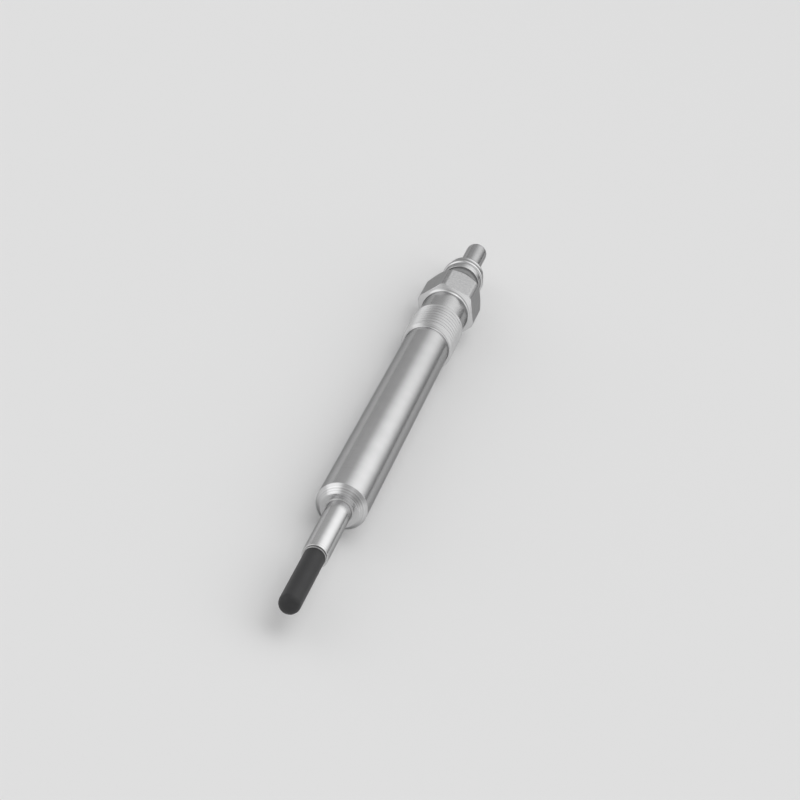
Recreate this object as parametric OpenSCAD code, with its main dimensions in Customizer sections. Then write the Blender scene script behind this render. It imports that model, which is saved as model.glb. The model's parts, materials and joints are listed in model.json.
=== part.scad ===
// Diesel glow plug with a ceramic heater, an M10 x 1 thread, a hexagon and a pin terminal.
// It lies along Y with its tip at -Y and one flat of its hexagon on the ground.

/* [Heater] */
// Diameter of the ceramic rod
heater_d = 3.3; // [2.9:0.1:3.6]
// Rounding of the rod's tip
tip_round = 1.5; // [0.5:0.1:1.6]
// Length of the rod in front of the sleeve
heater_out = 13.75; // [10:0.25:20]
// Length of the rod behind the sleeve
heater_tail = 3.5; // [3:0.5:8]

/* [Conductors in the heater] */
// Thickness of the loop
loop_d = 0.8; // [0.4:0.1:1]
// Distance between the middles of the loop's two legs
loop_span = 1.5; // [1.1:0.1:1.6]
// Ceramic in front of the loop
loop_cover = 1.2; // [0.8:0.1:3]
// Length of the loop
loop_len = 7.5; // [4:0.5:10]
// Thickness of the two leads
lead_d = 0.5; // [0.3:0.05:0.8]
// Distance from the sleeve's mouth to the point where the ground lead meets the sleeve
ground_depth = 16; // [4:1:20]

/* [Sleeve] */
// Outer diameter of the sleeve
sleeve_d = 4.05; // [3.9:0.05:4.5]
// Length of the sleeve in front of the shell
sleeve_out = 13.05; // [6:0.05:20]
// Length of the sleeve inside the shell
sleeve_in = 11.7; // [8:0.1:16]
// Rounding of the sleeve's mouth
mouth_round = 0.1; // [0.05:0.01:0.15]
// Height of the braze that stands on the sleeve's mouth
mouth_braze_len = 0.35; // [0.2:0.05:1]
// Width of the braze that stands on the sleeve's mouth
mouth_braze_w = 0.14; // [0.08:0.01:0.2]
// Height of the braze at the root of the sleeve
nose_braze_len = 1.1; // [0.4:0.1:2]
// Width of the braze at the root of the sleeve
nose_braze_w = 0.3; // [0.1:0.05:0.6]

/* [Shell] */
// Diameter of the flat nose face
nose_d = 6; // [5.6:0.1:7]
// Included angle of the conical seat
seat_angle = 75; // [60:1:120]
// Diameter of the shank
shank_d = 8.2; // [7.6:0.1:8.6]
// Length of the shank, from the seat to the thread
shank_len = 55.5; // [30:0.5:80]
// Nominal diameter of the thread
thread_d = 10; // [9.5:0.5:12]
// Pitch of the thread
thread_pitch = 1; // [0.75:0.25:1.5]
// Length of the thread, with its chamfers
thread_len = 8.7; // [6:0.1:20]
// Angle between the thread's chamfers and the axis
thread_chamfer = 60; // [30:5:70]
// Diameter of the neck behind the thread
neck_d = 8.6; // [8:0.1:9]
// Length of the neck
neck_len = 6.2; // [3:0.1:12]
// Fillet between the neck and the hexagon
neck_fillet = 0.5; // [0.2:0.05:0.8]

/* [Hexagon] */
// Width across the flats
hex_af = 10; // [9.9:0.1:11]
// Diameter to which the corners are turned
hex_corner_d = 11.13; // [10.9:0.01:11.5]
// Length of the hexagon, from its front face to the shell's rear face
hex_len = 9; // [8:0.1:14]
// Slope of the hexagon's front face
front_slope = 20; // [0:1:40]
// Angle between the rear chamfer and the axis
rear_chamfer = 32; // [20:1:60]
// Diameter of the shell's rear face
rear_d = 8.4; // [8:0.1:9.4]

/* [Bores of the shell] */
// Diameter of the main bore
bore_d = 5; // [4.6:0.1:5.6]
// Room between the sleeve's end and the main bore
bore_step = 0.5; // [0:0.1:1]
// Diameter of the bore for the seal and the bush
seal_bore_d = 6.6; // [6.2:0.1:7]
// Depth of that bore
seal_bore_len = 6.2; // [4:0.1:7]

/* [Centre rod and its contact] */
// Diameter of the rod
rod_d = 3.4; // [3:0.1:3.8]
// Diameter of the rod's end inside the terminal
tail_d = 2.6; // [2:0.1:2.8]
// Length of the rod's end inside the terminal
tail_len = 11; // [4:0.5:12]
// Diameter of the spigots that carry the coil
spigot_d = 1.4; // [1:0.1:1.8]
// Length of the spigots
spigot_len = 3; // [1:0.1:3.5]
// Wall of the contact cup
contact_wall = 0.35; // [0.2:0.05:0.5]
// Floor of the contact cup
contact_floor = 0.6; // [0.3:0.1:1]
// Length of ceramic inside the contact cup
contact_grip = 2; // [1:0.1:2.5]
// Thickness of the coil's wire
wire_d = 0.7; // [0.4:0.05:0.8]
// Turns of the coil
coil_turns = 7; // [4:1:8]
// Distance between the cup and the rod's shoulder
coil_room = 8.4; // [7.5:0.1:14]

/* [Bush and terminal] */
// Diameter of the bush's flange
flange_d = 7.2; // [6.9:0.1:7.6]
// Thickness of the bush's flange
flange_t = 4; // [1:0.1:5]
// Diameter of the terminal's collar
collar_d = 7.9; // [7.5:0.1:8.4]
// Length of the collar
collar_len = 2.5; // [1:0.1:5]
// Rounding of the collar's rear edge
collar_round = 0.25; // [0.1:0.05:0.35]
// Diameter of the shoulder behind the collar
shoulder_d = 7.1; // [6:0.1:7.3]
// Length of the shoulder
shoulder_len = 2.2; // [1:0.1:4]
// Rounding of the shoulder's rear edge
shoulder_round = 0.15; // [0.1:0.05:0.5]
// Diameter of the pin
pin_d = 4; // [3.8:0.05:5]
// Length of the pin, from the shoulder to its end
pin_len = 10.6; // [8:0.1:16]
// Rounding of the pin's end
pin_round = 0.7; // [0.2:0.1:1.5]

/* [Fits] */
// Radial gap of pressed, brazed and moulded-in pieces
tight = 0.01; // [0.005:0.005:0.03]
// Radial gap of pieces that slide in by hand
loose = 0.05; // [0.02:0.01:0.1]

/* [Hidden] */
$fn = 96;
over = 0.1;
coil_sides = 8;
coil_steps = 20;

// Stations along the axis, from the tip
mouth_at = heater_out;
nose_at = mouth_at + sleeve_out;
sleeve_to = nose_at + sleeve_in;
heater_to = sleeve_to + heater_tail;
seat_to = nose_at + (shank_d - nose_d) / 2 / tan(seat_angle / 2);
thread_from = seat_to + shank_len;
thread_to = thread_from + thread_len;
hex_at = thread_to + neck_len;
corner_from = hex_at + (hex_corner_d - neck_d) / 2 * tan(front_slope);
shell_to = hex_at + hex_len;
corner_to = shell_to - (hex_corner_d - rear_d) / 2 / tan(rear_chamfer);
contact_to = heater_to + contact_floor;
rod_from = contact_to + coil_room;
seal_at = shell_to - seal_bore_len;
collar_at = shell_to + flange_t;
shoulder_at = collar_at + collar_len;
pin_at = shoulder_at + shoulder_len;
plug_len = pin_at + pin_len;

// Pitch diameter of the thread, at which a plain cylinder has the thread's volume
pitch_d = thread_d - 3 / 8 * sqrt(3) * thread_pitch;

// Sizes that follow from the fits
heater_bore_d = heater_d + 2 * tight;
mouth_flat = (sleeve_d - heater_bore_d) / 2 - mouth_round;
mouth_ring_d = heater_bore_d + 2 * min(mouth_braze_w, mouth_flat);
sleeve_bore_d = sleeve_d + 2 * tight;
nose_ring_d = min(sleeve_bore_d + 2 * nose_braze_w, nose_d);
socket_d = tail_d + 2 * tight;
socket_len = tail_len + loose;
collar_edge = max(tight, min(collar_round, (collar_d - shoulder_d) / 2));
shoulder_edge = max(tight, min(shoulder_round, (shoulder_d - pin_d) / 2));
seal_d = (seal_bore_d - rod_d) / 2 - 2 * tight;
bush_at = seal_at + seal_d + 2 * tight;
coil_r = (spigot_d + wire_d) / 2 + tight;
coil_from = contact_to + wire_d / 2 + tight;
coil_to = rod_from - wire_d / 2 - tight;
loop_at = loop_cover + (loop_d + loop_span) / 2;
lead_at = loop_cover + loop_len;
ground_at = mouth_at + ground_depth;

steel = [0.66, 0.67, 0.68];
bright_steel = [0.78, 0.78, 0.79];
dull_steel = [0.5, 0.5, 0.51];
ceramic = [0.2, 0.2, 0.21];
braze = [0.72, 0.72, 0.7];
tungsten = [0.42, 0.42, 0.45];
dark_plastic = [0.28, 0.28, 0.29];
black_rubber = [0.1, 0.1, 0.1];

// Places a piece, drawn along Z from the tip, as the plug lies
module lay() {
    translate([0, -plug_len / 2, hex_af / 2])
        rotate([-90, 0, 0])
            children();
}

// A straight stretch of rod or bore between two stations
module rod(d, from, to) {
    translate([0, 0, from])
        cylinder(d = d, h = to - from);
}

// Half section of a turned piece, where each step is a diameter and the station at which it ends
module stepped_section(from, steps) {
    ends = concat([from], [for (step = steps) step[1]]);
    polygon(concat(
        [[0, from]],
        [for (i = [0:len(steps) - 1], end = [ends[i], ends[i + 1]]) [steps[i][0] / 2, end]],
        [[0, ends[len(steps)]]]
    ));
}

// Section that is cut away to round an edge, where side is 1 for a front edge and -1 for a rear one
module edge_cut(d, at, round, side) {
    translate([d / 2 - round, at + side * round])
        difference() {
            translate([0, side > 0 ? -round - over : 0])
                square(round + over);
            circle(r = round);
        }
}

// A rod with a rounded front edge
module round_nosed_rod(d, from, to, round) {
    rotate_extrude()
        difference() {
            stepped_section(from, [[d, to]]);
            edge_cut(d, from, min(round, d / 2), 1);
        }
}

// A ring of braze on a rod, which widens towards the face that it stands on
module braze_ring(d, foot_d, from, to) {
    difference() {
        translate([0, 0, from])
            cylinder(d1 = d, d2 = foot_d, h = to - from);
        rod(d, from - over, to + over);
    }
}

// Half section of the fillet that meets the neck and the hexagon's sloping front face
module neck_fillet_section() {
    neck_r = neck_d / 2;
    centre = [neck_r + neck_fillet, hex_at + neck_fillet * (tan(front_slope) - 1 / cos(front_slope))];
    touch = centre + neck_fillet * [-sin(front_slope), cos(front_slope)];
    difference() {
        polygon([[neck_r, centre.y], centre, touch, [neck_r, hex_at]]);
        translate(centre)
            circle(r = neck_fillet);
    }
}

// Half section of the turned bar from which the shell is made
module blank_section() {
    chamfer_len = (pitch_d - shank_d) / 2 / tan(thread_chamfer);
    run_out_len = (pitch_d - neck_d) / 2 / tan(thread_chamfer);
    polygon([
        [0, nose_at],
        [nose_d / 2, nose_at],
        [shank_d / 2, seat_to],
        [shank_d / 2, thread_from],
        [pitch_d / 2, thread_from + chamfer_len],
        [pitch_d / 2, thread_to - run_out_len],
        [neck_d / 2, thread_to],
        [neck_d / 2, hex_at],
        [hex_corner_d / 2, corner_from],
        [hex_corner_d / 2, corner_to],
        [rear_d / 2, shell_to],
        [0, shell_to]
    ]);
    neck_fillet_section();
}

// Cutter for the six flats
module flats() {
    for (side = [0:5])
        rotate(60 * side + 30)
            translate([hex_af / 2, -hex_corner_d / 2, hex_at - over])
                cube([hex_corner_d, hex_corner_d, hex_len + 2 * over]);
}

// Loop and leads as they lie in the ceramic, each thickened by a gap
module loop_form(gap) {
    d = loop_d + 2 * gap;
    translate([0, 0, loop_at])
        rotate([-90, 0, 0])
            rotate_extrude(angle = 180)
                translate([loop_span / 2, 0])
                    circle(d = d);
    for (side = [-1, 1])
        translate([side * loop_span / 2, 0, 0])
            rod(d, loop_at, lead_at + gap);
}

module feed_form(gap, to) {
    translate([loop_span / 2, 0, 0])
        rod(lead_d + 2 * gap, lead_at, to);
}

module ground_form(gap, reach) {
    d = lead_d + 2 * gap;
    translate([-loop_span / 2, 0, 0]) {
        rod(d, lead_at, ground_at);
        translate([0, 0, ground_at])
            sphere(d = d);
    }
    translate([-reach, 0, ground_at])
        rotate([0, 90, 0])
            cylinder(d = d, h = reach - loop_span / 2);
}

// Closed tube swept along the coil
module coil_sweep(from, to) {
    count = coil_turns * coil_steps;
    points = [
        for (i = [0:count], k = [0:coil_sides - 1])
            let (turn = 360 * i / coil_steps, ring = 360 * k / coil_sides)
            let (r = coil_r + wire_d / 2 * cos(ring))
            [r * cos(turn), r * sin(turn), from + (to - from) * i / count + wire_d / 2 * sin(ring)]
    ];
    sides = [
        for (i = [0:count - 1], k = [0:coil_sides - 1])
            let (a = i * coil_sides, b = a + coil_sides, next = (k + 1) % coil_sides)
            [a + k, a + next, b + next, b + k]
    ];
    first = [for (k = [coil_sides - 1:-1:0]) k];
    last = [for (k = [0:coil_sides - 1]) count * coil_sides + k];
    polyhedron(points, concat([first, last], sides));
}

module shell() {
    color(steel) lay() difference() {
        rotate_extrude()
            blank_section();
        flats();
        rotate_extrude()
            stepped_section(nose_at - over, [
                [sleeve_bore_d, sleeve_to + bore_step],
                [bore_d, seal_at],
                [seal_bore_d, shell_to + over]
            ]);
    }
}

module heater_sleeve() {
    color(bright_steel) lay() difference() {
        round_nosed_rod(sleeve_d, mouth_at, sleeve_to, mouth_round);
        rod(heater_bore_d, mouth_at - over, sleeve_to + over);
    }
}

module nose_braze() {
    color(braze) lay()
        braze_ring(sleeve_bore_d, nose_ring_d, nose_at - nose_braze_len, nose_at);
}

module mouth_braze() {
    color(braze) lay()
        braze_ring(heater_bore_d, mouth_ring_d, mouth_at - mouth_braze_len, mouth_at);
}

module ceramic_heater() {
    color(ceramic) lay() difference() {
        round_nosed_rod(heater_d, 0, heater_to, tip_round);
        loop_form(tight);
        feed_form(tight, heater_to + over);
        ground_form(tight, heater_d / 2 + over);
    }
}

module heating_loop() {
    color(tungsten) lay() loop_form(0);
}

module feed_lead() {
    color(tungsten) lay() feed_form(0, heater_to);
}

module ground_lead() {
    color(tungsten) lay() intersection() {
        ground_form(0, heater_d / 2);
        rod(heater_d, lead_at, heater_to);
    }
}

module contact_cap() {
    mouth = heater_to - contact_grip;
    color(bright_steel) lay() difference() {
        rotate_extrude()
            stepped_section(mouth, [
                [heater_bore_d + 2 * contact_wall, contact_to],
                [spigot_d, contact_to + spigot_len]
            ]);
        rod(heater_bore_d, mouth - over, heater_to);
    }
}

module lead_coil() {
    color(dull_steel) lay() coil_sweep(coil_from, coil_to);
}

module centre_rod() {
    color(dull_steel) lay() rotate_extrude()
        stepped_section(rod_from - spigot_len, [
            [spigot_d, rod_from],
            [rod_d, collar_at],
            [tail_d, collar_at + tail_len]
        ]);
}

module seal_ring() {
    color(black_rubber) lay() translate([0, 0, seal_at + seal_d / 2 + tight]) rotate_extrude()
        translate([(rod_d + seal_bore_d) / 4, 0])
            circle(d = seal_d);
}

module insulating_bush() {
    color(dark_plastic) lay() difference() {
        rotate_extrude()
            stepped_section(bush_at, [[seal_bore_d - 2 * loose, shell_to], [flange_d, collar_at]]);
        rod(rod_d + 2 * loose, bush_at - over, collar_at + over);
    }
}

module terminal_cap() {
    color(bright_steel) lay() difference() {
        rotate_extrude()
            difference() {
                stepped_section(collar_at, [
                    [collar_d, shoulder_at],
                    [shoulder_d, pin_at],
                    [pin_d, plug_len]
                ]);
                edge_cut(collar_d, shoulder_at, collar_edge, -1);
                edge_cut(shoulder_d, pin_at, shoulder_edge, -1);
                edge_cut(pin_d, plug_len, min(pin_round, pin_d / 2), -1);
            }
        rod(socket_d, collar_at - over, collar_at + socket_len);
    }
}

shell();
heater_sleeve();
nose_braze();
mouth_braze();
ceramic_heater();
heating_loop();
feed_lead();
ground_lead();
contact_cap();
lead_coil();
centre_rod();
seal_ring();
insulating_bush();
terminal_cap();
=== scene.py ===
import json
from math import ceil, cos, pi, radians, sin, tan

import bmesh
import bpy
from bpy.props import FloatProperty, FloatVectorProperty, IntProperty, PointerProperty
from mathutils import Matrix, Vector


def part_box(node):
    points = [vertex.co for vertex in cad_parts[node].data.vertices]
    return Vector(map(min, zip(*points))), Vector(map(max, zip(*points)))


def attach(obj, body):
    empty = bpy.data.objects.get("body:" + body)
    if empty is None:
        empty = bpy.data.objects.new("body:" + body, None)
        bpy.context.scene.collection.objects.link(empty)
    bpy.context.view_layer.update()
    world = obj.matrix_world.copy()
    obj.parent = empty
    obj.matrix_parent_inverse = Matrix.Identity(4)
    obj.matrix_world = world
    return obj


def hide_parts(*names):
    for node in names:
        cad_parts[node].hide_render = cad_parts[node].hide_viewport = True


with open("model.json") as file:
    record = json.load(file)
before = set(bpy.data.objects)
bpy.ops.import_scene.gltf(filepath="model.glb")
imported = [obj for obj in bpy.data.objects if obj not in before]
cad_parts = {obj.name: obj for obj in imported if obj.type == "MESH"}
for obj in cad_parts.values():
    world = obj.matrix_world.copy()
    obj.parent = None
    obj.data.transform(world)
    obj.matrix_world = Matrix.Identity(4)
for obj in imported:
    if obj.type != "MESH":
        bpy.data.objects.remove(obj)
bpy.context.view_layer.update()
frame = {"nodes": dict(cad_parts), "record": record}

bl_info = {
    "name": "Diesel glow plug",
    "version": (1, 0, 0),
    "blender": (4, 5, 0),
    "location": "3D View > Sidebar > Glow plug",
    "description": "Builds the visible pieces of a diesel glow plug and a studio to show it in",
    "category": "Add Mesh",
}

MM = 0.001
BODY = "root"
MERGE_DISTANCE = 1e-8
SHARP_ANGLE = radians(35)
INNER_FINISHES = {
    "heating_loop": "conductor",
    "feed_lead": "conductor",
    "ground_lead": "conductor",
    "contact_cap": "nickel",
    "lead_coil": "nickel",
    "centre_rod": "rod_steel",
    "seal_ring": "seal_rubber",
}
# Places of the finishes among the shell's materials
TURNED, MILLED, THREADED = range(3)
# How nearly a face has to lie on a flat, in place and in direction, to be milled
FLAT_TEST = 0.99
# Brightness of the milled flats beside that of the turned faces
MILLED_SHADE = 0.93
# Half of the angle between two flanks of the thread
FLANK_ANGLE = radians(30)
# Longest change of radius between two rings of the hexagon
RING_RISE = 0.04 * MM
# Steps round a fillet of braze
FILLET_STEPS = 8
# Share of its brightness that the metal keeps at a grazing angle, set lower than real steel keeps: painted
# shade that darkens the metal's sides
METAL_EDGE_SHADE = (0.42, 0.42, 0.42, 1)
# Tool marks across a face for each one along the axis
INWARD_TRAVEL = 0.8
# Height of tool marks and of grain
MARK_HEIGHT = 0.02 * MM
# Values between which most of a noise lies
NOISE_LOW = 0.3
NOISE_HIGH = 0.7
# Soft lights and dark gaps on the studio's walls, with their turn from the rear towards the right, their
# rise over the floor and their reach in degrees, and the brightness that they add
WALL_PATCHES = (
    (40, 55, 55, 1.0),  # high softbox at the rear right
    (-100, 25, 40, 0.8),  # softbox on the left
    (155, 15, 45, 0.5),  # card at the front right
    (-135, 0, 30, 0.5),  # low card at the front left
    (90, 0, 30, 0.3),  # low card on the right
    (100, 55, 30, -0.4),  # gap beside the high softbox
    (30, -25, 50, -0.4),  # low gap at the rear right
)


# What the frame says

def span(node):
    """Front and rear end of a CAD node along the axis."""
    low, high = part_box(node)
    return low.y, high.y


def half_width(node):
    """Largest radius of a turned CAD node."""
    low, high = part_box(node)
    return (high.x - low.x) / 2


def mount_size(name, key):
    """One of the dimensions of a mount in the record, in metres."""
    mount = next(m for m in frame["record"]["mounts"] if m["name"] == name)
    return mount["dims"][key] * MM


SHELL_LOW, SHELL_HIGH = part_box("shell")
AXIS_HEIGHT = (SHELL_LOW.z + SHELL_HIGH.z) / 2


def length(title, text, default):
    """A size in metres that the user can change."""
    return FloatProperty(name=title, description=text, default=default, min=0, precision=5, unit="LENGTH")


def angle(title, text, default):
    """An angle that the user can change, given here in degrees."""
    return FloatProperty(name=title, description=text, default=radians(default), subtype="ANGLE")


def share(title, text, default):
    """A value from 0 to 1 that the user can change."""
    return FloatProperty(name=title, description=text, default=default, min=0, max=1, subtype="FACTOR")


def tint(title, text, default):
    """A colour that the user can change."""
    return FloatVectorProperty(
        name=title, description=text, default=default, size=3, min=0, max=1, subtype="COLOR")


class GlowPlugSizes(bpy.types.PropertyGroup):
    """Sizes of the visible pieces"""

    shank_radius: length("Shank radius", "Radius of the shank", 4.1 * MM)
    shank_length: length("Shank length", "From the seat to the thread", 55.5 * MM)
    nose_radius: length("Nose radius", "Radius of the flat nose face", 3 * MM)
    seat_slope: angle("Seat slope", "Angle between the conical seat and the axis", 37.5)
    thread_radius: length("Thread radius", "Radius of the thread's crests", 4.7 * MM)
    thread_pitch: length("Thread pitch", "Advance of the thread in one turn", 1 * MM)
    thread_depth: length("Thread depth", "From the thread's crests to its roots", 0.3 * MM)
    thread_length: length("Thread length", "Length of the thread with its chamfers", 8.7 * MM)
    thread_chamfer: angle("Thread chamfer", "Angle between the thread's chamfers and the axis", 60)
    thread_fillet: length("Thread fillet", "Fillet between the shank and the thread's chamfer", 0.3 * MM)
    neck_radius: length("Neck radius", "Radius of the neck behind the thread", 4.3 * MM)
    neck_fillet: length("Neck fillet", "Fillet between the neck and the hexagon", 0.7 * MM)
    flat_radius: length("Flat radius", "From the axis to a flat", (SHELL_HIGH.z - SHELL_LOW.z) / 2)
    corner_radius: length("Corner radius", "Radius of the turned corners", half_width("shell"))
    hexagon_length: length("Hexagon length", "From its front face to the rear face", 9 * MM)
    front_slope: angle("Front slope", "Slope of the hexagon's front face", 20)
    rear_slope: angle("Rear slope", "Angle between the rear chamfer and the axis", 32)
    rear_radius: length("Rear radius", "Radius of the shell's rear face", 4.2 * MM)
    edge_round: length("Edge rounding", "Rounding of the shell's turned edges", 0.08 * MM)
    bore_radius: length("Bore radius", "Radius of the shell's main bore", 2.5 * MM)
    bush_bore_radius: length("Bush bore radius", "Radius of the bore for the seal and bush", 3.3 * MM)
    bush_bore_depth: length("Bush bore depth", "Depth of the bore for the seal and bush", 6.2 * MM)
    mouth_round: length("Mouth rounding", "Rounding of the sleeve's mouth", 0.1 * MM)
    mouth_fillet: length("Mouth fillet", "Width of the braze in the sleeve's mouth", 0.12 * MM)
    nose_fillet: length("Nose fillet", "Width of the braze round the sleeve at the nose", 0.22 * MM)
    tip_round: length("Tip rounding", "Rounding of the ceramic tip", 1.5 * MM)
    tail_round: length("Tail rounding", "Rounding of the ceramic rod's rear edge", 0.05 * MM)
    bush_clearance: length("Bush clearance", "Gap between the bush and its bore", 0.05 * MM)
    flange_round: length("Flange rounding", "Rounding of the edges of the bush's flange", 0.06 * MM)
    groove_place: length("Groove place", "From the shell's rear face to the flange's groove", 1.65 * MM)
    groove_depth: length("Groove depth", "Depth of the groove in the bush's flange", 0.2 * MM)
    recess_width: length("Recess width", "Width of the recess between the flange and the collar", 1.1 * MM)
    recess_depth: length("Recess depth", "Depth of the recess between the flange and the collar", 0.4 * MM)
    collar_radius: length("Collar radius", "Radius of the collar's front, which widens to the rim", 3.6 * MM)
    collar_round: length("Collar rounding", "Rounding of the collar's front edge", 0.08 * MM)
    collar_length: length("Collar length", "Length of the collar", 2.5 * MM)
    rim_width: length("Rim width", "Width of the raised rim at the collar's rear", 0.95 * MM)
    rim_height: length("Rim height", "Height of the raised rim", 0.29 * MM)
    rim_slope: angle("Rim slope", "Angle between the rim's front and the axis", 60)
    rim_round: length("Rim rounding", "Rounding of the rim's front edge", 0.55 * MM)
    rim_rear_round: length("Rim rear rounding", "Rounding of the rim's rear edge", 0.25 * MM)
    shoulder_radius: length("Shoulder radius", "Radius of the shoulder behind the collar", 3.58 * MM)
    shoulder_waist: length("Shoulder waist", "Depth of the waist in front of the shoulder", 0.12 * MM)
    shoulder_length: length("Shoulder length", "Length of the shoulder", 2.2 * MM)
    shoulder_round: length("Shoulder rounding", "Rounding of the shoulder's rear edge", 0.3 * MM)
    pin_radius: length("Pin radius", "Radius of the terminal pin", mount_size("terminal_pin", "r_mm"))
    pin_round: length("Pin rounding", "Rounding of the pin's end", 0.7 * MM)
    socket_radius: length("Socket radius", "Radius of the terminal's blind socket", 1.31 * MM)
    socket_depth: length("Socket depth", "Depth of the terminal's blind socket", 11.05 * MM)
    columns: IntProperty(name="Columns", description="Points round a small turned piece", default=144, min=24)
    shell_columns: IntProperty(
        name="Shell columns", description="Points round the shell", default=300, min=60)


class GlowPlugFinishes(bpy.types.PropertyGroup):
    """Colours and roughness of the pieces"""

    shell_colour: tint("Shell", "Turned and plated steel", (0.65, 0.65, 0.653))
    shell_roughness: share("Shell roughness", "Roughness of the turned steel", 0.2)
    sleeve_colour: tint("Sleeve", "Drawn steel tube", (0.71, 0.71, 0.713))
    sleeve_roughness: share("Sleeve roughness", "Roughness of the drawn tube", 0.2)
    braze_colour: tint("Braze", "Silver braze", (0.55, 0.55, 0.55))
    braze_roughness: share("Braze roughness", "Roughness of the braze", 0.4)
    ceramic_colour: tint("Ceramic", "Ground silicon nitride", (0.03, 0.03, 0.031))
    ceramic_roughness: share("Ceramic roughness", "Roughness of the ceramic", 0.5)
    bush_colour: tint("Bush", "Moulded plastic", (0.23, 0.23, 0.232))
    bush_roughness: share("Bush roughness", "Roughness of the moulded plastic", 0.45)
    terminal_colour: tint("Terminal", "Plated steel", (0.63, 0.63, 0.633))
    terminal_roughness: share("Terminal roughness", "Roughness of the plated steel", 0.2)
    conductor_colour: tint("Conductor", "Sintered alloy", (0.25, 0.25, 0.27))
    conductor_roughness: share("Conductor roughness", "Roughness of the sintered alloy", 0.4)
    nickel_colour: tint("Nickel", "Nickel cup and wire", (0.6, 0.57, 0.52))
    nickel_roughness: share("Nickel roughness", "Roughness of the nickel", 0.3)
    rod_colour: tint("Rod", "Drawn steel rod", (0.45, 0.45, 0.46))
    rod_roughness: share("Rod roughness", "Roughness of the drawn rod", 0.35)
    seal_colour: tint("Seal", "Moulded rubber", (0.02, 0.02, 0.02))
    seal_roughness: share("Seal roughness", "Roughness of the rubber", 0.6)


class GlowPlugStudio(bpy.types.PropertyGroup):
    """Camera, floor, walls and lamp"""

    camera_elevation: angle("Elevation", "Angle at which the camera looks down", 31.095)
    camera_roll: angle("Roll", "Turn of the camera about its own view", 27.975)
    camera_distance: length("Distance", "From the camera to the point it looks at", 316.05 * MM)
    camera_lens: FloatProperty(name="Lens", description="Focal length", default=85, unit="CAMERA")
    camera_clip: length("Clip", "Nearest distance that the camera shows", 0.01)
    target: FloatVectorProperty(
        name="Target", description="Point that the camera looks at, from the middle of the axis",
        default=(0.269 * MM, 0.247 * MM, 0), size=3, unit="LENGTH")
    floor_reach: length("Floor reach", "From the middle of the floor to its edges", 3)
    floor_roughness: share("Floor roughness", "Roughness of the floor", 0.9)
    floor_colour: tint("Floor", "Pale floor", (0.78, 0.78, 0.78))
    wall_brightness: share("Walls", "Brightness of the studio's walls between their patches", 0.48)
    lamp_brightness: share("Lamp", "Brightness of the lamp over the plug", 0.5)
    lamp_size: length("Lamp size", "Width of the lamp over the plug", 0.8)
    lamp_height: length("Lamp height", "Height of the lamp over the floor", 1)


# Shapes

def axis_point(radius, turn, along):
    """A point at a radius from the axis, at a turn from straight up and a place along the axis."""
    return Vector((radius * sin(turn), along, AXIS_HEIGHT + radius * cos(turn)))


def even_turns(count):
    return [2 * pi * i / count for i in range(count)]


def rounded_outline(corners, steps=6):
    """The line through corners of (radius, place along the axis, rounding), with each rounding as an arc."""
    points = []
    for i, (radius, along, rounding) in enumerate(corners):
        here = Vector((radius, along))
        if rounding == 0 or i in (0, len(corners) - 1):
            points.append(here)
            continue
        to_before = (Vector(corners[i - 1][:2]) - here).normalized()
        to_after = (Vector(corners[i + 1][:2]) - here).normalized()
        half_angle = to_before.angle(to_after) / 2
        centre = here + (to_before + to_after).normalized() * rounding / sin(half_angle)
        start = here + to_before * rounding / tan(half_angle) - centre
        end = here + to_after * rounding / tan(half_angle) - centre
        sweep = pi - 2 * half_angle
        for k in range(steps + 1):
            part = sweep * k / steps
            points.append(centre + (start * sin(sweep - part) + end * sin(part)) / sin(sweep))
    return points


def finer(points, longest_rise):
    """The same line with points added wherever its radius changes by more than longest_rise."""
    result = points[:1]
    for before, after in zip(points, points[1:]):
        count = max(1, ceil(abs(after.x - before.x) / longest_rise))
        result += [before.lerp(after, (k + 1) / count) for k in range(count)]
    return result


def turned_rows(points, turns):
    """One ring of points for each point of an outline."""
    return [[axis_point(p.x, turn, p.y) for turn in turns] for p in points]


def add_skin(bm, rows, finish=TURNED, wrap_step=0):
    """Faces between rings of points.

    With wrap_step, a ring's end meets the start of a later ring, as in a helix.
    """
    grid = [[bm.verts.new(point) for point in row] for row in rows]
    last_column = len(rows[0]) - 1
    for i in range(len(grid) - 1):
        for j in range(last_column + 1):
            near = i
            far_column = j + 1
            if j == last_column:
                near = i + wrap_step
                far_column = 0
            if near + 1 >= len(grid):
                continue
            corners = (grid[i][j], grid[i + 1][j], grid[near + 1][far_column], grid[near][far_column])
            face = bm.faces.new(corners)
            face.material_index = finish


def make_piece(name, bm, materials, slot, *nodes):
    """A smooth mesh that rides on the body and stands for CAD nodes."""
    bmesh.ops.remove_doubles(bm, verts=bm.verts, dist=MERGE_DISTANCE)
    bmesh.ops.dissolve_degenerate(bm, edges=bm.edges, dist=MERGE_DISTANCE)
    bmesh.ops.recalc_face_normals(bm, faces=bm.faces)
    mesh = bpy.data.meshes.new(name)
    bm.to_mesh(mesh)
    bm.free()
    mesh.shade_smooth()
    mesh.set_sharp_from_angle(angle=SHARP_ANGLE)
    for material in materials:
        mesh.materials.append(material)
    piece = bpy.data.objects.new(name, mesh)
    bpy.context.scene.collection.objects.link(piece)
    normals = piece.modifiers.new("normals", "WEIGHTED_NORMAL")
    normals.mode = "FACE_AREA"
    normals.weight = 100
    normals.keep_sharp = True
    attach(piece, BODY)
    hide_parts(*nodes)


def turned_piece(name, corners, material, slot, node, columns):
    """A piece turned about the axis, from the closed outline of its section."""
    outline = rounded_outline(corners)
    bm = bmesh.new()
    add_skin(bm, turned_rows(outline, even_turns(columns)))
    make_piece(name, bm, [material], slot, node)


# The shell

def blend_lower(a, b, width):
    """The lower of two values, blended where they come within a width of each other."""
    overlap = max(width - abs(a - b), 0) / width
    return min(a, b) - overlap * overlap * width / 4


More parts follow.
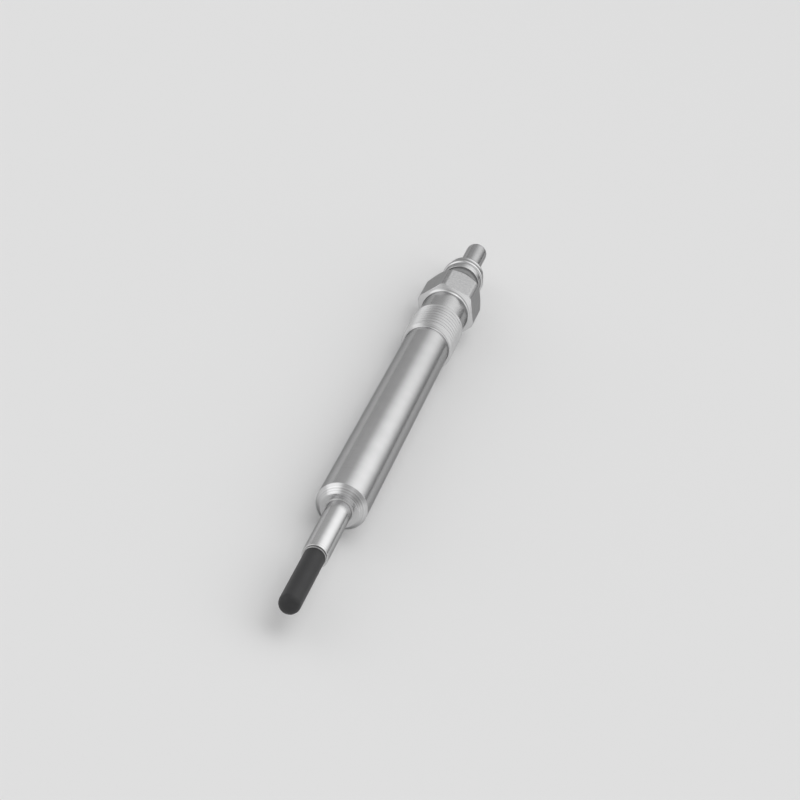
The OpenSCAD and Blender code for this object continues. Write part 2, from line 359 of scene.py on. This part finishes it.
def flat_distance(sizes, turn):
    """From the axis to the hexagon's side, before its corners are turned."""
    sector = radians(60)
    return sizes.flat_radius / cos((turn + sector / 2) % sector - sector / 2)


def thread_section(sizes, crest=0.12, root_steps=6):
    """Points of one thread as (share of the pitch, radius), along the root and over the crest."""
    root = sizes.thread_radius - sizes.thread_depth
    flank = sizes.thread_depth * tan(FLANK_ANGLE) / sizes.thread_pitch
    rise = 1 - 2 * flank - crest
    return [(rise * k / root_steps, root) for k in range(root_steps + 1)] + [
        (rise + flank, sizes.thread_radius),
        (rise + flank + crest, sizes.thread_radius),
    ]


def thread_rows(sizes, turns, start, end):
    """Rings of a right-hand thread that follow its helix and run out to the crests at both ends."""
    section = thread_section(sizes)
    slope = tan(sizes.thread_chamfer)
    rows = []
    for i in range(ceil((end - start) / sizes.thread_pitch) + 2):
        for part, radius in section:
            row = []
            for turn in turns:
                along = start + sizes.thread_pitch * (i - 1 + part + turn / (2 * pi))
                along = min(max(along, start), end)
                run_out = sizes.thread_radius - min(along - start, end - along) * slope
                row.append(axis_point(max(radius, run_out), turn, along))
            rows.append(row)
    return rows, len(section)


def hexagon_rows(sizes, outline, turns):
    """Rings of the turned blank, cut by the six flats."""
    rows = []
    for point in outline:
        ring = []
        for turn in turns:
            radius = blend_lower(point.x, flat_distance(sizes, turn), sizes.edge_round)
            ring.append(axis_point(radius, turn, point.y))
        rows.append(ring)
    return rows


def on_flat(face, sizes, start):
    """Whether a face behind the hexagon's start lies on one of its flats."""
    middle = face.calc_center_median()
    radius = Vector((middle.x, 0, middle.z - AXIS_HEIGHT)).length
    level = face.normal.cross(Vector((0, 1, 0))).length
    return middle.y > start and radius > sizes.flat_radius * FLAT_TEST and level > FLAT_TEST


# Finishes

def new_material(name):
    """A material with its node tree and its shader."""
    material = bpy.data.materials.new(name)
    material.use_nodes = True
    return material, material.node_tree, material.node_tree.nodes["Principled BSDF"]


def add_node(tree, kind, inputs=None, **settings):
    """A node with some of its settings and inputs filled in; an input may be a socket to link."""
    node = tree.nodes.new(kind)
    for key, value in settings.items():
        setattr(node, key, value)
    for key, value in (inputs or {}).items():
        if isinstance(value, bpy.types.NodeSocket):
            tree.links.new(value, node.inputs[key])
        else:
            node.inputs[key].default_value = value
    return node


def scaled(colour, factor):
    return tuple(min(1, channel * factor) for channel in colour)


def varied_colour(tree, noise, colour, variation):
    """A colour that a noise makes darker and lighter by a share."""
    ramp = add_node(tree, "ShaderNodeValToRGB", {"Fac": noise.outputs["Fac"]})
    ramp.color_ramp.elements[0].color = (*scaled(colour, 1 - variation), 1)
    ramp.color_ramp.elements[1].color = (*scaled(colour, 1 + variation), 1)
    return ramp.outputs["Color"]


def varied_value(tree, noise, middle, variation):
    """A value that a noise makes lower and higher by a share."""
    node = add_node(tree, "ShaderNodeMapRange", {
        "Value": noise.outputs["Fac"], "From Min": NOISE_LOW, "From Max": NOISE_HIGH,
        "To Min": middle * (1 - variation), "To Max": middle * (1 + variation)})
    return node.outputs["Result"]


def link_surface(tree, shader, colour, roughness, marks, depth):
    """Links a finish's colour and roughness to its shader, with a bump that follows its marks."""
    bump = add_node(tree, "ShaderNodeBump", {
        "Height": marks.outputs["Fac"], "Strength": depth, "Distance": MARK_HEIGHT})
    tree.links.new(colour, shader.inputs["Base Color"])
    tree.links.new(roughness, shader.inputs["Roughness"])
    tree.links.new(bump.outputs["Normal"], shader.inputs["Normal"])


def tool_travel(tree, place):
    """How far a lathe tool has gone along the axis and inwards, so that its marks ring each face."""
    along = add_node(tree, "ShaderNodeSeparateXYZ", {"Vector": place}).outputs["Y"]
    across = add_node(tree, "ShaderNodeMapping", {
        "Vector": place, "Location": (0, 0, -AXIS_HEIGHT), "Scale": (1, 0, 1)}).outputs["Vector"]
    radius = add_node(tree, "ShaderNodeVectorMath", {0: across}, operation="LENGTH").outputs["Value"]
    travel = add_node(tree, "ShaderNodeMath", {
        0: radius, 1: -INWARD_TRAVEL, 2: along}, operation="MULTIPLY_ADD")
    return travel.outputs["Value"]


def turned_metal(name, colour, roughness, line_depth=0.04, line_contrast=0.14):
    """Metal with fine tool marks round the axis and a faint cloudiness."""
    lines_per_metre = 8000
    clouds_per_metre = 350
    cloudiness = 0.06
    material, tree, shader = new_material(name)
    place = add_node(tree, "ShaderNodeTexCoord").outputs["Object"]
    marks = add_node(tree, "ShaderNodeTexNoise", {
        "W": tool_travel(tree, place), "Scale": lines_per_metre, "Detail": 4, "Roughness": 0.6},
        noise_dimensions="1D")
    clouds = add_node(tree, "ShaderNodeTexNoise", {
        "Vector": place, "Scale": clouds_per_metre, "Detail": 5, "Roughness": 0.55})
    shade = add_node(tree, "ShaderNodeVectorMath", {
        0: varied_colour(tree, clouds, colour, cloudiness),
        "Scale": varied_value(tree, marks, 1, line_contrast)}, operation="SCALE")
    rough = varied_value(tree, marks, roughness, variation=0.15)
    link_surface(tree, shader, shade.outputs["Vector"], rough, marks, line_depth)
    shader.inputs["Metallic"].default_value = 1
    # Painted shade: the edge colour darkens the metal's sides more than real steel does
    shader.inputs["Specular Tint"].default_value = METAL_EDGE_SHADE
    return material


def milled_metal(name, colour, roughness):
    """Metal of the flats, with fine marks along the axis and a fine speckle."""
    marks_per_metre = (6000, 300, 6000)
    specks_per_metre = 2500
    material, tree, shader = new_material(name)
    place = add_node(tree, "ShaderNodeTexCoord").outputs["Object"]
    stretched = add_node(tree, "ShaderNodeMapping", {"Vector": place, "Scale": marks_per_metre})
    marks = add_node(tree, "ShaderNodeTexNoise", {
        "Vector": stretched.outputs["Vector"], "Scale": 1, "Detail": 3, "Roughness": 0.6})
    specks = add_node(tree, "ShaderNodeTexNoise", {
        "Vector": place, "Scale": specks_per_metre, "Detail": 4, "Roughness": 0.6})
    shade = varied_colour(tree, specks, colour, variation=0.3)
    rough = varied_value(tree, specks, roughness, variation=0.15)
    link_surface(tree, shader, shade, rough, marks, depth=0.06)
    shader.inputs["Metallic"].default_value = 1
    # Painted shade: the edge colour darkens the flats at a grazing angle more than real steel does
    shader.inputs["Specular Tint"].default_value = METAL_EDGE_SHADE
    return material


def grained_solid(name, colour, roughness, grain_per_metre, depth):
    """Ceramic, plastic or rubber with a fine grain and a faint cloudiness."""
    clouds_per_metre = 400
    material, tree, shader = new_material(name)
    place = add_node(tree, "ShaderNodeTexCoord").outputs["Object"]
    grain = add_node(tree, "ShaderNodeTexNoise", {
        "Vector": place, "Scale": grain_per_metre, "Detail": 4, "Roughness": 0.6})
    clouds = add_node(tree, "ShaderNodeTexNoise", {
        "Vector": place, "Scale": clouds_per_metre, "Detail": 3, "Roughness": 0.5})
    shade = varied_colour(tree, clouds, colour, variation=0.15)
    rough = varied_value(tree, grain, roughness, variation=0.1)
    link_surface(tree, shader, shade, rough, grain, depth)
    shader.inputs["Specular IOR Level"].default_value = 0.3
    return material


# The studio

def wall_direction(turn, rise):
    """Way to a place on the studio's walls, by its turn from the rear and its rise in degrees."""
    level = cos(radians(rise))
    return Vector((level * sin(radians(turn)), level * cos(radians(turn)), sin(radians(rise))))


# Operators

class GlowPlugShell(bpy.types.Operator):
    """Builds the shell with its seat, thread, neck and hexagon"""

    bl_idname = "glow_plug.shell"
    bl_label = "Shell"

    def execute(self, context):
        sizes = context.scene.glow_plug_sizes
        finishes = context.scene.glow_plug_finishes
        turns = even_turns(sizes.shell_columns)
        nose, rear = span("shell")
        sleeve_rear = span("heater_sleeve")[1]
        sleeve_bore = half_width("heater_sleeve")
        seat_end = nose + (sizes.shank_radius - sizes.nose_radius) / tan(sizes.seat_slope)
        thread_start = seat_end + sizes.shank_length
        thread_end = thread_start + sizes.thread_length
        hexagon_start = rear - sizes.hexagon_length
        corner_start = hexagon_start + (sizes.corner_radius - sizes.neck_radius) * tan(sizes.front_slope)
        corner_end = rear - (sizes.corner_radius - sizes.rear_radius) / tan(sizes.rear_slope)
        crest = sizes.thread_radius
        crest_start = thread_start + (crest - sizes.shank_radius) / tan(sizes.thread_chamfer)
        crest_end = thread_end - (crest - sizes.neck_radius) / tan(sizes.thread_chamfer)
        edge = sizes.edge_round
        front = rounded_outline([
            (sleeve_bore, nose, 0),
            (sizes.nose_radius, nose, edge),
            (sizes.shank_radius, seat_end, edge),
            (sizes.shank_radius, thread_start, sizes.thread_fillet),
            (crest, crest_start, edge),
            (crest, crest_start + 2 * edge, 0),
        ])
        back = rounded_outline([
            (crest, crest_end - 2 * edge, 0),
            (crest, crest_end, edge),
            (sizes.neck_radius, thread_end, edge),
            (sizes.neck_radius, hexagon_start, sizes.neck_fillet),
            (sizes.corner_radius, corner_start, edge),
            (sizes.corner_radius, corner_end, edge),
            (sizes.rear_radius, rear, edge),
            (sizes.bush_bore_radius, rear, 0),
        ])
        bore = rounded_outline([
            (sizes.bush_bore_radius, rear, 0),
            (sizes.bush_bore_radius, rear - sizes.bush_bore_depth, 0),
            (sizes.bore_radius, rear - sizes.bush_bore_depth, 0),
            (sizes.bore_radius, sleeve_rear, 0),
            (sleeve_bore, sleeve_rear, 0),
            (sleeve_bore, nose, 0),
        ])
        bm = bmesh.new()
        add_skin(bm, turned_rows(front, turns))
        thread, wrap_step = thread_rows(sizes, turns, crest_start + 2 * edge, crest_end - 2 * edge)
        add_skin(bm, thread, THREADED, wrap_step)
        add_skin(bm, hexagon_rows(sizes, finer(back, RING_RISE), turns))
        add_skin(bm, turned_rows(bore, turns))
        bm.normal_update()
        for face in bm.faces:
            if on_flat(face, sizes, hexagon_start):
                face.material_index = MILLED
        colour = finishes.shell_colour
        roughness = finishes.shell_roughness
        materials = [
            turned_metal("shell_turned", colour, roughness),
            milled_metal("shell_milled", scaled(colour, MILLED_SHADE), roughness),
            turned_metal("shell_thread", colour, roughness, line_depth=0.02, line_contrast=0.04),
        ]
        make_piece("shell_body", bm, materials, "shell_steel", "shell")
        return {"FINISHED"}


class GlowPlugSleeve(bpy.types.Operator):
    """Builds the steel sleeve round the heater"""

    bl_idname = "glow_plug.sleeve"
    bl_label = "Sleeve"

    def execute(self, context):
        sizes = context.scene.glow_plug_sizes
        finishes = context.scene.glow_plug_finishes
        mouth, rear = span("heater_sleeve")
        outer = half_width("heater_sleeve")
        inner = half_width("ceramic_heater")
        corners = [
            (inner, (mouth + rear) / 2, 0),
            (inner, mouth, sizes.mouth_round / 2),
            (outer, mouth, sizes.mouth_round),
            (outer, rear, sizes.mouth_round),
            (inner, rear, 0),
            (inner, (mouth + rear) / 2, 0),
        ]
        material = turned_metal("sleeve_drawn", finishes.sleeve_colour, finishes.sleeve_roughness)
        turned_piece("sleeve_tube", corners, material, "sleeve_steel", "heater_sleeve", sizes.columns)
        return {"FINISHED"}


class GlowPlugBraze(bpy.types.Operator):
    """Builds the braze at the sleeve's mouth and at its root"""

    bl_idname = "glow_plug.braze"
    bl_label = "Braze"

    def execute(self, context):
        sizes = context.scene.glow_plug_sizes
        finishes = context.scene.glow_plug_finishes
        material = turned_metal(
            "braze_silver", finishes.braze_colour, finishes.braze_roughness, line_depth=0.02)
        for name, node, inner_node, width in (
            ("mouth_fillet", "mouth_braze", "ceramic_heater", sizes.mouth_fillet),
            ("nose_fillet", "nose_braze", "heater_sleeve", sizes.nose_fillet),
        ):
            rear = span(node)[1]
            inner = half_width(inner_node)
            arc = [
                Vector((inner + width * (1 - cos(turn)), rear - width * (1 - sin(turn))))
                for turn in (pi / 2 * k / FILLET_STEPS for k in range(FILLET_STEPS + 1))
            ]
            outline = arc + [Vector((inner, rear)), arc[0]]
            bm = bmesh.new()
            add_skin(bm, turned_rows(outline, even_turns(sizes.columns)))
            make_piece(name, bm, [material], "braze", node)
        return {"FINISHED"}


class GlowPlugHeater(bpy.types.Operator):
    """Builds the ceramic heater rod"""

    bl_idname = "glow_plug.heater"
    bl_label = "Heater"

    def execute(self, context):
        sizes = context.scene.glow_plug_sizes
        finishes = context.scene.glow_plug_finishes
        tip, rear = span("ceramic_heater")
        radius = half_width("ceramic_heater")
        corners = [
            (0, tip, 0),
            (radius, tip, sizes.tip_round),
            (radius, rear, sizes.tail_round),
            (0, rear, 0),
        ]
        material = grained_solid(
            "ceramic_ground", finishes.ceramic_colour, finishes.ceramic_roughness,
            grain_per_metre=9000, depth=0.2)
        turned_piece("heater_rod", corners, material, "ceramic", "ceramic_heater", sizes.columns)
        return {"FINISHED"}


class GlowPlugBush(bpy.types.Operator):
    """Builds the insulating bush behind the hexagon"""

    bl_idname = "glow_plug.bush"
    bl_label = "Bush"

    def execute(self, context):
        sizes = context.scene.glow_plug_sizes
        finishes = context.scene.glow_plug_finishes
        front, rear = span("insulating_bush")
        shell_rear = span("shell")[1]
        outer = half_width("insulating_bush")
        spigot = sizes.bush_bore_radius - sizes.bush_clearance
        groove = shell_rear + sizes.groove_place
        depth = sizes.groove_depth
        recess = rear - sizes.recess_width
        edge = sizes.flange_round
        inner = half_width("centre_rod")
        corners = [
            (inner, (front + rear) / 2, 0),
            (inner, front, 0),
            (spigot, front, 0),
            (spigot, shell_rear, 0),
            (outer, shell_rear, edge),
            (outer, groove - depth, edge),
            (outer - depth, groove, 0),
            (outer, groove + depth, edge),
            (outer, recess, edge),
            (outer - sizes.recess_depth, recess, 0),
            (outer - sizes.recess_depth, rear, 0),
            (inner, rear, 0),
            (inner, (front + rear) / 2, 0),
        ]
        material = grained_solid(
            "bush_moulded", finishes.bush_colour, finishes.bush_roughness, grain_per_metre=5000, depth=0.15)
        turned_piece("bush_insulator", corners, material, "bush_plastic", "insulating_bush", sizes.columns)
        return {"FINISHED"}


class GlowPlugTerminal(bpy.types.Operator):
    """Builds the terminal with its collar, shoulder and pin"""

    bl_idname = "glow_plug.terminal"
    bl_label = "Terminal"

    def execute(self, context):
        sizes = context.scene.glow_plug_sizes
        finishes = context.scene.glow_plug_finishes
        front, rear = span("terminal_cap")
        outer = half_width("terminal_cap")
        shoulder = front + sizes.collar_length
        shoulder_end = shoulder + sizes.shoulder_length
        rim = shoulder - sizes.rim_width
        waist = sizes.shoulder_radius - sizes.shoulder_waist
        socket = front + sizes.socket_depth
        corners = [
            (sizes.socket_radius, (front + socket) / 2, 0),
            (sizes.socket_radius, front, 0),
            (sizes.collar_radius, front, sizes.collar_round),
            (outer - sizes.rim_height, rim, 0),
            (outer, rim + sizes.rim_height / tan(sizes.rim_slope), sizes.rim_round),
            (outer, shoulder, sizes.rim_rear_round),
            ((outer + sizes.shoulder_radius) / 2, shoulder, 0),
            (waist, shoulder + sizes.shoulder_length / 2, 0),
            (sizes.shoulder_radius, shoulder_end - sizes.shoulder_length / 4, sizes.shoulder_waist),
            (waist, shoulder_end, sizes.shoulder_round),
            (sizes.pin_radius, shoulder_end, 0),
            (sizes.pin_radius, rear, sizes.pin_round),
            (0, rear, 0),
        ]
        inside = [
            (0, socket, 0),
            (sizes.socket_radius, socket, 0),
            (sizes.socket_radius, (front + socket) / 2, 0),
        ]
        material = turned_metal("terminal_plated", finishes.terminal_colour, finishes.terminal_roughness)
        bm = bmesh.new()
        turns = even_turns(sizes.columns)
        add_skin(bm, turned_rows(rounded_outline(corners, steps=10), turns))
        add_skin(bm, turned_rows(rounded_outline(inside), turns))
        make_piece("terminal_pin", bm, [material], "terminal_steel", "terminal_cap")
        return {"FINISHED"}


class GlowPlugInside(bpy.types.Operator):
    """Gives the pieces inside the plug their finishes"""

    bl_idname = "glow_plug.inside"
    bl_label = "Inside"

    def execute(self, context):
        finishes = context.scene.glow_plug_finishes
        materials = {
            "conductor": turned_metal(
                "conductor_alloy", finishes.conductor_colour, finishes.conductor_roughness),
            "nickel": turned_metal("nickel_wire", finishes.nickel_colour, finishes.nickel_roughness),
            "rod_steel": turned_metal("rod_drawn", finishes.rod_colour, finishes.rod_roughness),
            "seal_rubber": grained_solid(
                "seal_moulded", finishes.seal_colour, finishes.seal_roughness,
                grain_per_metre=4000, depth=0.2),
        }
        for node, finish in INNER_FINISHES.items():
            mesh = frame["nodes"][node].data
            mesh.materials.clear()
            mesh.materials.append(materials[finish])
        return {"FINISHED"}


class GlowPlugStage(bpy.types.Operator):
    """Builds the floor, the walls' light, the lamp and the camera"""

    bl_idname = "glow_plug.stage"
    bl_label = "Studio"

    def execute(self, context):
        studio = context.scene.glow_plug_studio
        context.scene.view_settings.view_transform = "Standard"
        self.add_floor(context, studio)
        self.add_walls(context, studio)
        self.add_lamp(context, studio)
        self.add_camera(context, studio)
        return {"FINISHED"}

    def add_floor(self, context, studio):
        bm = bmesh.new()
        bmesh.ops.create_grid(bm, x_segments=1, y_segments=1, size=studio.floor_reach)
        mesh = bpy.data.meshes.new("floor")
        bm.to_mesh(mesh)
        bm.free()
        material, _, shader = new_material("floor_pale")
        shader.inputs["Base Color"].default_value = (*studio.floor_colour, 1)
        shader.inputs["Roughness"].default_value = studio.floor_roughness
        shader.inputs["Specular IOR Level"].default_value = 0
        mesh.materials.append(material)
        floor = bpy.data.objects.new("floor", mesh)
        context.scene.collection.objects.link(floor)

    def add_walls(self, context, studio):
        """Surroundings of an even brightness with soft brighter and darker patches."""
        world = bpy.data.worlds.new("studio")
        context.scene.world = world
        world.use_nodes = True
        tree = world.node_tree
        direction = add_node(tree, "ShaderNodeTexCoord").outputs["Generated"]
        total = None
        for turn, rise, reach, gain in WALL_PATCHES:
            toward = add_node(tree, "ShaderNodeVectorMath", {
                0: direction, 1: wall_direction(turn, rise)}, operation="DOT_PRODUCT")
            patch = add_node(tree, "ShaderNodeMapRange", {
                "Value": toward.outputs["Value"], "From Min": cos(radians(reach)), "From Max": 1,
                "To Min": 0, "To Max": gain}, interpolation_type="SMOOTHSTEP")
            before = studio.wall_brightness if total is None else total.outputs["Value"]
            total = add_node(tree, "ShaderNodeMath", {0: before, 1: patch.outputs["Result"]}, operation="ADD")
        background = tree.nodes["Background"]
        background.inputs["Color"].default_value = (1, 1, 1, 1)
        tree.links.new(total.outputs["Value"], background.inputs["Strength"])

    def add_lamp(self, context, studio):
        """A soft lamp over the plug that doesn't show in its metal. At 1 it is as bright as a white wall."""
        lamp = bpy.data.lights.new("top_softbox", "AREA")
        lamp.size = studio.lamp_size
        lamp.energy = studio.lamp_brightness * pi * studio.lamp_size ** 2
        holder = bpy.data.objects.new("top_softbox", lamp)
        context.scene.collection.objects.link(holder)
        holder.location = (0, 0, studio.lamp_height)
        holder.visible_glossy = False

    def add_camera(self, context, studio):
        camera = bpy.data.objects.new("camera", bpy.data.cameras.new("camera"))
        context.scene.collection.objects.link(camera)
        camera.data.lens = studio.camera_lens
        camera.data.clip_start = studio.camera_clip
        elevation = studio.camera_elevation
        back = Vector((0, -cos(elevation), sin(elevation)))
        level = Vector((1, 0, 0))
        steep = back.cross(level)
        right = cos(studio.camera_roll) * level + sin(studio.camera_roll) * steep
        up = back.cross(right)
        place = Vector((0, 0, AXIS_HEIGHT)) + Vector(studio.target) + back * studio.camera_distance
        turn = Matrix((right, up, back)).transposed().to_4x4()
        camera.matrix_world = Matrix.Translation(place) @ turn
        context.scene.camera = camera


class GlowPlugPanel(bpy.types.Panel):
    """Lists the pieces and their sizes"""

    bl_idname = "VIEW3D_PT_glow_plug"
    bl_label = "Glow plug"
    bl_space_type = "VIEW_3D"
    bl_region_type = "UI"
    bl_category = "Glow plug"

    def draw(self, context):
        scene = context.scene
        for group in (scene.glow_plug_sizes, scene.glow_plug_finishes, scene.glow_plug_studio):
            box = self.layout.box()
            for key in group.bl_rna.properties.keys():
                if key not in ("rna_type", "name"):
                    box.prop(group, key)
        for operator in OPERATORS:
            self.layout.operator(operator.bl_idname)


GROUPS = (GlowPlugSizes, GlowPlugFinishes, GlowPlugStudio)
OPERATORS = (
    GlowPlugShell,
    GlowPlugSleeve,
    GlowPlugBraze,
    GlowPlugHeater,
    GlowPlugBush,
    GlowPlugTerminal,
    GlowPlugInside,
    GlowPlugStage,
)


def register():
    for cls in (*GROUPS, *OPERATORS, GlowPlugPanel):
        bpy.utils.register_class(cls)
    bpy.types.Scene.glow_plug_sizes = PointerProperty(type=GlowPlugSizes)
    bpy.types.Scene.glow_plug_finishes = PointerProperty(type=GlowPlugFinishes)
    bpy.types.Scene.glow_plug_studio = PointerProperty(type=GlowPlugStudio)


def unregister():
    del bpy.types.Scene.glow_plug_studio
    del bpy.types.Scene.glow_plug_finishes
    del bpy.types.Scene.glow_plug_sizes
    for cls in reversed((*GROUPS, *OPERATORS, GlowPlugPanel)):
        bpy.utils.unregister_class(cls)


def main():
    register()
    bpy.ops.glow_plug.shell()
    bpy.ops.glow_plug.sleeve()
    bpy.ops.glow_plug.braze()
    bpy.ops.glow_plug.heater()
    bpy.ops.glow_plug.bush()
    bpy.ops.glow_plug.terminal()
    bpy.ops.glow_plug.inside()
    bpy.ops.glow_plug.stage()


if __name__ == "__main__":
    main()
